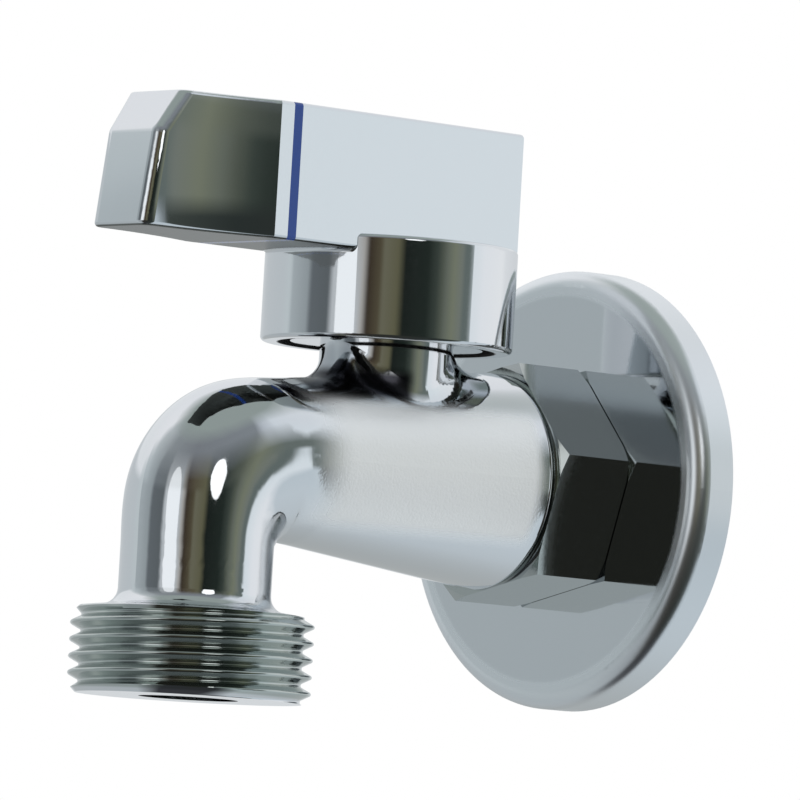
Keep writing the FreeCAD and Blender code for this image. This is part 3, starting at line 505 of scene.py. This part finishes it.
def copy_of_node(node, name):
    """An own copy of a CAD node's mesh with its loose triangles joined up."""
    piece = frame["nodes"][node].copy()
    piece.data = frame["nodes"][node].data.copy()
    piece.name = name
    piece.data.name = name
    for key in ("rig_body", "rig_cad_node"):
        if key in piece:
            del piece[key]
    piece.parent = None
    bpy.context.scene.collection.objects.link(piece)
    if piece.data.has_custom_normals:
        make_only(piece)
        bpy.ops.mesh.customdata_custom_splitnormals_clear()
    mesh = bmesh.new()
    mesh.from_mesh(piece.data)
    bmesh.ops.remove_doubles(mesh, verts=mesh.verts, dist=WELD)
    mesh.to_mesh(piece.data)
    mesh.free()
    return piece


def set_camera():
    azimuth, elevation, roll = map(math.radians, (CAMERA_AZIMUTH, CAMERA_ELEVATION, CAMERA_ROLL))
    back = Vector((math.sin(azimuth) * math.cos(elevation),
                   -math.cos(azimuth) * math.cos(elevation), math.sin(elevation)))
    right = (-back).cross(Vector((0, 0, 1))).normalized()
    up = right.cross(-back)
    right_rolled = right * math.cos(roll) + up * math.sin(roll)
    up_rolled = up * math.cos(roll) - right * math.sin(roll)
    data = bpy.data.cameras.new("photo_camera")
    data.sensor_width = SENSOR_WIDTH
    data.lens = SENSOR_WIDTH * FOCAL_PIXELS / PICTURE_WIDTH
    data.clip_start = NEAREST
    data.clip_end = FURTHEST
    camera = bpy.data.objects.new("photo_camera", data)
    bpy.context.scene.collection.objects.link(camera)
    axes = Matrix((right_rolled, up_rolled, back)).transposed()
    camera.matrix_world = Matrix.Translation(CAMERA_PLACE) @ axes.to_4x4()
    bpy.context.scene.camera = camera


# What stands round the tap in the studio, by compass angle from the front towards +X, at four
# levels: below the tap, at its own height, a little above it, and high up. Pale walls and
# screens with grey gaps, and an olive-brown reflector beside a dark one. Over them is a pale
# grey ceiling, and straight below a dark patch
ROOM_BELOW = [
    (-180, "#CDD5DA"),
    (-129, "#B4B8B8"),
    (-95, "#BCC1C4"),
    (-60, "#B8BFC2"),
    (-45, "#C2C9CB"),
    (-20, "#A8AEB2"),
    (-8, "#A8AEB2"),
    (1, "#A2A6A8"),
    (10, "#35322D"),
    (98, "#303634"),
    (121.6, "#454B47"),
    (124, "#CCD7DE"),
    (150, "#D3DCE2"),
    (180, "#CDD5DA"),
]
ROOM_LEVEL = [
    (-180, "#F0F2F4"),
    (-150, "#DDE0E3"),
    (-100, "#CDD2D5"),
    (-64, "#CDD3D6"),
    (-55, "#CFD7D9"),
    (-51.5, "#C4CCCF"),
    (-50.2, "#B4BCBF"),
    (-31, "#A0A8AB"),
    (-26, "#6B7175"),
    (-8, "#646A6D"),
    (-3, "#C9CDD0"),
    (20, "#C9CDD0"),
    (25, "#B5B2AD"),
    (30, "#3E352C"),
    (40, "#57503F"),
    (44, "#716F5D"),
    (56, "#67654F"),
    (63, "#1D2320"),
    (84, "#252D29"),
    (93, "#3F4741"),
    (98, "#575D53"),
    (103, "#6D7368"),
    (110, "#7F8472"),
    (118, "#7C827A"),
    (122, "#6A7471"),
    (126, "#6A7471"),
    (128.5, "#ECF4F8"),
    (145, "#FAFCFF"),
    (172, "#FDFEFF"),
    (180, "#F0F2F4"),
]
ROOM_SHOULDER = [
    (-180, "#F0F2F4"),
    (-110, "#F0F3F5"),
    (-66, "#F4F6F8"),
    (-58, "#D3DADC"),
    (-51.5, "#C4CCCF"),
    (-31, "#A0A8AB"),
    (-26, "#7C8286"),
    (-8, "#767C7F"),
    (-3, "#B4B8BA"),
    (20, "#B4B8BA"),
    (25, "#8F8C86"),
    (30, "#4A4138"),
    (40, "#5C5545"),
    (56, "#67654F"),
    (63, "#343A36"),
    (84, "#3C433F"),
    (98, "#5B6157"),
    (110, "#7F8472"),
    (122, "#6F7874"),
    (130, "#6F7874"),
    (132, "#ECF4F8"),
    (172, "#FDFEFF"),
    (180, "#F0F2F4"),
]
ROOM_ABOVE = [
    (-180, "#F0F2F5"),
    (-100, "#F8F9FC"),
    (-66, "#FDFDFF"),
    (-52, "#C6CCCE"),
    (-20, "#969C9F"),
    (30, "#84888D"),
    (104, "#8C9297"),
    (113, "#CBD1D8"),
    (122, "#E4EAF0"),
    (180, "#F0F2F5"),
]
ROOM_CEILING = [(0, "#9FA9A5")]
ROOM_UNDERFOOT = "#3C3D41"

# The levels from the floor upwards, each with the angles above the horizon over which it takes
# over from the one below
ROOM = [
    (-76, -64, ROOM_BELOW),
    (-11, -5, ROOM_LEVEL),
    (13, 17, ROOM_SHOULDER),
    (22, 44, ROOM_ABOVE),
    (50, 64, ROOM_CEILING),
]


def set_world():
    """A soft studio: banded surroundings for the metal to mirror, even white light, white paper.

    Mirror rays see the room in its bands, light falls evenly from all sides, and the camera
    sees white behind the tap.
    """
    world = bpy.data.worlds.new("studio")
    bpy.context.scene.world = world
    world.use_nodes = True
    tree = world.node_tree
    tree.nodes.clear()
    direction = add_node(tree, "ShaderNodeTexCoord")
    parts = add_node(tree, "ShaderNodeSeparateXYZ", [("Vector", direction.outputs["Generated"])])
    towards_front = add_node(tree, "ShaderNodeMath", [(0, parts.outputs["Y"])], [(1, -1.0)],
                             operation="MULTIPLY")
    compass = add_node(tree, "ShaderNodeMath",
                       [(0, parts.outputs["X"]), (1, towards_front.outputs["Value"])],
                       operation="ARCTAN2")
    around = add_node(tree, "ShaderNodeMapRange", [("Value", compass.outputs["Value"])],
                      [("From Min", -math.pi), ("From Max", math.pi)])
    seen = None
    for low, high, stops in ROOM:
        ring = add_node(tree, "ShaderNodeValToRGB", [("Fac", around.outputs["Result"])])
        ramp_stops(ring, [((angle + 180) / 360, colour) for angle, colour in stops])
        rise = add_node(tree, "ShaderNodeMapRange", [("Value", parts.outputs["Z"])],
                        [("From Min", math.sin(math.radians(low))),
                         ("From Max", math.sin(math.radians(high)))])
        blend = add_node(tree, "ShaderNodeMix",
                         [("Factor", rise.outputs["Result"]), (MIX_SECOND, ring.outputs["Color"])],
                         [(MIX_FIRST, linear(ROOM_UNDERFOOT))], data_type="RGBA")
        if seen:
            tree.links.new(seen, blend.inputs[MIX_FIRST])
        seen = blend.outputs[MIX_RESULT]
    ray = add_node(tree, "ShaderNodeLightPath")
    room = add_node(tree, "ShaderNodeBackground", [("Color", seen)], [("Strength", 1.0)])
    light = add_node(tree, "ShaderNodeBackground",
                     inputs=[("Color", linear("#FFFFFF")), ("Strength", EVEN_LIGHT)])
    paper = add_node(tree, "ShaderNodeBackground",
                     inputs=[("Color", linear("#FFFFFF")), ("Strength", 1.0)])
    lit = add_node(tree, "ShaderNodeMixShader",
                   [("Fac", ray.outputs["Is Glossy Ray"]), (1, light.outputs["Background"]),
                    (2, room.outputs["Background"])])
    shown = add_node(tree, "ShaderNodeMixShader",
                     [("Fac", ray.outputs["Is Camera Ray"]), (1, lit.outputs["Shader"]),
                      (2, paper.outputs["Background"])])
    add_node(tree, "ShaderNodeOutputWorld", [("Surface", shown.outputs["Shader"])])


def add_softbox(name, azimuth, elevation, distance, width, height, brightness):
    """An oval softbox that faces the tap, from a compass angle and an angle above the horizon.

    Where metal mirrors it, its brightness adds to that of the room behind it.
    """
    data = bpy.data.lights.new(name, "AREA")
    data.shape = "ELLIPSE"
    data.size = width
    data.size_y = height
    area = math.pi * width * height / 4
    data.energy = brightness * 4 * area
    lamp = bpy.data.objects.new(name, data)
    bpy.context.scene.collection.objects.link(lamp)
    turn, rise = math.radians(azimuth), math.radians(elevation)
    towards = Vector((math.sin(turn) * math.cos(rise), -math.cos(turn) * math.cos(rise),
                      math.sin(rise)))
    facing = towards.to_track_quat("Z", "Y").to_matrix().to_4x4()
    lamp.matrix_world = Matrix.Translation(Vector(TAP_MIDDLE) + towards * distance) @ facing
    lamp.visible_camera = False


def make_floor():
    """A round pale board well under the tap, with its rim rounded over."""
    deselect_all()
    bpy.ops.mesh.primitive_circle_add(vertices=FLOOR_SIDES, radius=FLOOR_RADIUS,
                                      fill_type="NGON", location=(0, 0, FLOOR_HEIGHT))
    floor = bpy.context.object
    floor.name = "studio_floor"
    bpy.ops.object.transform_apply(location=True)
    bpy.ops.object.mode_set(mode="EDIT")
    bpy.ops.mesh.select_all(action="SELECT")
    bpy.ops.mesh.extrude_region_move(
        TRANSFORM_OT_translate={"value": (0, 0, -FLOOR_THICKNESS)})
    bpy.ops.mesh.select_all(action="SELECT")
    bpy.ops.mesh.normals_make_consistent(inside=False)
    bpy.ops.mesh.bevel(offset=FLOOR_ROUNDING, segments=3)
    bpy.ops.object.mode_set(mode="OBJECT")
    floor.visible_glossy = False
    finish_with(floor, painted_board("matt_white_painted_board", "#E9E9E7"))


def thread_outline(crest):
    """Radius and height along one turn of the thread, from the middle of one groove to the next."""
    tip = []
    for step in range(TIP_STEPS + 1):
        lean = math.radians(90 - THREAD_HALF_ANGLE) * step / TIP_STEPS
        tip.append((THREAD_ROUNDING * math.sin(lean), THREAD_ROUNDING * (1 - math.cos(lean))))
    rising = [(crest - THREAD_DEPTH + drop, across - THREAD_PITCH / 2) for across, drop in tip]
    rising += [(crest - drop, -across) for across, drop in reversed(tip)]
    return rising + [(radius, -height) for radius, height in reversed(rising[:-1])]


def thread_skin(name, crest, low, high, low_crest, high_crest):
    """The outside of a thread that stands on Z: one turn's outline, screwed up and cut to length.

    At each end the crests are turned down to a smaller radius, as the lead-in of a real thread.
    """
    outline = thread_outline(crest)
    start = low - SPARE_TURNS * THREAD_PITCH
    deselect_all()
    bpy.ops.mesh.primitive_plane_add(size=MM, location=(outline[0][0], 0, start))
    skin = bpy.context.object
    skin.name = name
    bpy.ops.object.transform_apply(location=True)
    bpy.ops.object.mode_set(mode="EDIT")
    bpy.ops.mesh.select_mode(type="VERT")
    bpy.ops.mesh.select_all(action="SELECT")
    bpy.ops.mesh.merge(type="CENTER")
    for (radius, height), (next_radius, next_height) in zip(outline, outline[1:]):
        bpy.ops.mesh.extrude_region_move(TRANSFORM_OT_translate={
            "value": (next_radius - radius, 0, next_height - height)})
    bpy.ops.object.mode_set(mode="OBJECT")
    screw = skin.modifiers.new("turns", "SCREW")
    screw.steps = THREAD_STEPS
    screw.render_steps = THREAD_STEPS
    screw.screw_offset = THREAD_PITCH
    screw.iterations = math.ceil((high - low) / THREAD_PITCH) + 2 * SPARE_TURNS
    bpy.ops.object.modifier_apply(modifier=screw.name)
    bpy.ops.object.mode_set(mode="EDIT")
    bpy.ops.mesh.select_all(action="SELECT")
    bpy.ops.mesh.remove_doubles(threshold=WELD)
    bpy.ops.mesh.bisect(plane_co=(0, 0, low), plane_no=(0, 0, 1), clear_inner=True,
                        threshold=WELD)
    bpy.ops.mesh.select_all(action="SELECT")
    bpy.ops.mesh.bisect(plane_co=(0, 0, high), plane_no=(0, 0, 1), clear_outer=True,
                        threshold=WELD)
    bpy.ops.mesh.select_all(action="SELECT")
    bpy.ops.mesh.remove_doubles(threshold=WELD)
    bpy.ops.mesh.normals_make_consistent(inside=False)
    bpy.ops.object.mode_set(mode="OBJECT")
    for vertex in skin.data.vertices:
        place = vertex.co
        radius = math.hypot(place.x, place.y)
        limit = min(crest, low_crest + place.z - low, high_crest + high - place.z)
        if radius > limit:
            place.x *= limit / radius
            place.y *= limit / radius
    return skin


def narrow(piece, radius, new_radius, low, high):
    """Move the rims of one radius between two heights to another radius."""
    for vertex in piece.data.vertices:
        place = vertex.co
        away = math.hypot(place.x, place.y)
        if abs(away - radius) < HAIR and low - HAIR < place.z < high + HAIR:
            place.x *= new_radius / away
            place.y *= new_radius / away


def select_sleeve(piece, radius, low, high):
    """Select the faces between two heights that lie wholly outside a radius."""
    mesh = bmesh.from_edit_mesh(piece.data)
    for face in mesh.faces:
        inner = min(math.hypot(vertex.co.x, vertex.co.y) for vertex in face.verts)
        face.select_set(inner > radius and low < face.calc_center_median().z < high)
    bmesh.update_edit_mesh(piece.data)


def bridge_rims(piece, height):
    """Join the two open rims at a height with a ring of faces."""
    bpy.ops.mesh.select_all(action="DESELECT")
    mesh = bmesh.from_edit_mesh(piece.data)
    for edge in mesh.edges:
        level = all(abs(vertex.co.z - height) < HAIR for vertex in edge.verts)
        if edge.is_boundary and level:
            edge.select_set(True)
    bmesh.update_edit_mesh(piece.data)
    bpy.ops.mesh.bridge_edge_loops()


def keep_node_shading(piece, node):
    """Give the unchanged faces of a piece the exact normals of the node it is copied from."""
    source = frame["nodes"][node].data
    tree = KDTree(len(source.vertices))
    for vertex in source.vertices:
        tree.insert(vertex.co, vertex.index)
    tree.balance()
    corners = [[] for vertex in source.vertices]
    for face in source.polygons:
        for corner in face.loop_indices:
            normal = source.corner_normals[corner].vector.copy()
            corners[source.loops[corner].vertex_index].append((face.normal.copy(), normal))
    known = []
    for vertex in piece.data.vertices:
        near = tree.find_range(vertex.co, WELD)
        known.append([row for place, index, distance in near for row in corners[index]])
    normals = []
    for face in piece.data.polygons:
        for corner in face.loop_indices:
            best, alike = (0, 0, 0), SAME_FACE
            for facing, normal in known[piece.data.loops[corner].vertex_index]:
                if facing.dot(face.normal) > alike:
                    best, alike = normal, facing.dot(face.normal)
            normals.append(best)
    piece.data.normals_split_custom_set(normals)


def cut_thread(piece, node, upright, thread, sleeve):
    """Swap the plain sleeve on a copied node for a real thread.

    upright turns the piece so that the thread stands on Z. The rest of the surface keeps the
    node's own exact shading.
    """
    make_only(piece)
    bpy.ops.object.mode_set(mode="EDIT")
    bpy.ops.mesh.select_mode(type="FACE")
    bpy.ops.mesh.select_all(action="DESELECT")
    select_sleeve(piece, *sleeve)
    bpy.ops.mesh.delete(type="FACE")
    bpy.ops.object.mode_set(mode="OBJECT")
    skin = thread_skin(piece.name + "_thread", **thread)
    make_only(piece)
    skin.select_set(True)
    bpy.ops.object.join()
    bpy.ops.object.mode_set(mode="EDIT")
    bpy.ops.mesh.select_mode(type="EDGE")
    bridge_rims(piece, thread["low"])
    bridge_rims(piece, thread["high"])
    bpy.ops.object.mode_set(mode="OBJECT")
    piece.data.transform(upright.inverted())
    smooth(piece, SMOOTH_BELOW)
    keep_node_shading(piece, node)


def make_threaded_body():
    """The cast body with its hose thread cut."""
    body = copy_of_node("body", "tap_casting")
    upright = Matrix.Translation((0, OUTLET_REACH, 0))
    body.data.transform(upright)
    narrow(body, HOSE_THREAD["low_crest"], HOSE_RIM, HOSE_THREAD["low"], HOSE_THREAD["low"])
    narrow(body, HOSE_THREAD["high_crest"], HOSE_RIM, HOSE_THREAD["high"], HOSE_THREAD["high"])
    cut_thread(body, "body", upright, HOSE_THREAD,
               (HOSE_RIM - HAIR, HOSE_THREAD["low"] + HAIR, HOSE_THREAD["high"] - HAIR))
    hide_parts("body")
    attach(body, "tap_body")
    return body


def make_threaded_nipple():
    """The wall nipple with its thread cut, and the groove beside it taken down to the roots."""
    nipple = copy_of_node("inlet_nipple", "wall_nipple")
    upright = Matrix.Rotation(math.radians(90), 4, "X")
    nipple.data.transform(upright)
    narrow(nipple, WALL_RELIEF, WALL_RIM, WALL_RELIEF_START, WALL_THREAD["low"])
    narrow(nipple, WALL_THREAD["high_crest"], WALL_RIM, WALL_THREAD["high"], WALL_THREAD["high"])
    cut_thread(nipple, "inlet_nipple", upright, WALL_THREAD,
               (WALL_RIM - HAIR, WALL_THREAD["low"] - HAIR, WALL_THREAD["high"] - HAIR))
    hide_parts("inlet_nipple")
    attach(nipple, "tap_body")
    return nipple


set_camera()
set_world()
add_softbox("side_softbox", azimuth=71, elevation=21, distance=1.2, width=0.38, height=0.53,
            brightness=1.1)
add_softbox("front_softbox", azimuth=10, elevation=6, distance=1.2, width=0.40, height=1.10,
            brightness=0.4)
make_floor()

# Brass buffed and chromed: a bright, cool grey mirror
chrome = polished_chrome("polished_chrome_plate")

# The same on the body's casting, but for the places whose surface was made another way, and a painted
# dark reflection in front of the neck
body_chrome = polished_chrome("polished_chrome_with_satin_field_and_painted_shade", zones=[
    # Blasted before plating: pale and diffuse, with hardly a reflection
    dict(find=satin_share, tint="#ECF0F2", roughness=0.36, metallic=0.32, grain_mm=0.035),
    # Painted dark reflection of the hub's underside, in front of the neck foot: dark and a little
    # blurred
    dict(find=painted_dark_reflection_share, tint="#3C3C42", roughness=0.2, metallic=1.0, grain_mm=0),
    # As cast under the plate: what it mirrors runs together into soft grey
    dict(find=crease_share, tint="#DDE0E3", roughness=0.24, metallic=1.0, grain_mm=0),
    # Cut by a die and not buffed: slightly greyer and softer than the casting
    dict(find=thread_share, tint="#B8BFBC", roughness=0.11, metallic=1.0, grain_mm=0),
])

# Brass turned from bar and nickel plated without a buff: a duller, warmer grey than chrome, with
# flatter and slightly blurred reflections
nickel = polished_chrome("dull_nickel_plated_brass", tint="#B5BAB8", wave_depth_mm=0.006,
                         roughness=0.09)

# Sheet steel pressed, rolled over at its edge and chromed: a flat mirror with a soft pale rim
plate_chrome = polished_chrome("polished_chrome_pressed_plate", zones=[
    dict(find=rim_share, tint="#E4E8EB", roughness=0.3, metallic=1.0, grain_mm=0),
])

# Cast zinc, buffed and chromed: bright on top and sides, with painted shade in its skirt and under
# its bar
lever_chrome = polished_chrome("polished_chrome_on_cast_lever_with_painted_shade", zones=[
    # Painted shade inside the skirt, under the hub: dark and dull
    dict(find=painted_shade_skirt_share, tint="#2B2826", roughness=0.55, metallic=0.3, grain_mm=0.02),
    # Painted shade on the underside of the bar: a darker grey, in which reflections blur
    dict(find=painted_shade_underside_share, tint="#5B5E5A", roughness=0.28, metallic=1.0, grain_mm=0),
], crowned_flare=True)

# ABS moulded and chromed in a vacuum: a thinner, greyer and hazier mirror
cap_chrome = polished_chrome("vacuum_chromed_abs", tint="#C9CCD0", roughness=0.09)

# Brass as the lathe left it: warm yellow, with rings that draw the light out into a soft streak
brass = turned_metal("turned_brass", "#C9A35A", roughness=0.28, ring_mm=0.2)

# Steel turned and zinc plated: pale blue-grey and satin, with its rings still to be seen
zinc = turned_metal("bright_zinc_plate", "#B9BDC2", roughness=0.3, ring_mm=0.25)

# PTFE machined from bar: waxy off-white with a wide, dim sheen
ptfe = polymer("machined_ptfe", "#EDEDE8", roughness=0.45)

# Nitrile rubber from a mould: near black and matt
rubber = polymer("moulded_nitrile_rubber", "#15161A", roughness=0.6)

# Acrylic from a polished mould: an even deep blue with small, sharp highlights
blue = polymer("moulded_blue_acrylic", "#1F3F86", roughness=0.18)

finish_with(make_threaded_body(), body_chrome)
finish_with(make_threaded_nipple(), nickel)

FINISHES = {
    "ball": chrome,
    "rosette": plate_chrome,
    "lever_handle": lever_chrome,
    "stem": brass,
    "gland_nut": brass,
    "handle_screw": zinc,
    "lock_washer": zinc,
    "seat_inlet": ptfe,
    "seat_outlet": ptfe,
    "thrust_washer": ptfe,
    "nipple_seal": rubber,
    "stem_ring_lower": rubber,
    "stem_ring_upper": rubber,
    "cold_mark_band": blue,
    "screw_cap": cap_chrome,
}
for node, material in FINISHES.items():
    finish_with(frame["nodes"][node], material)

bpy.context.scene.view_settings.view_transform = "Standard"
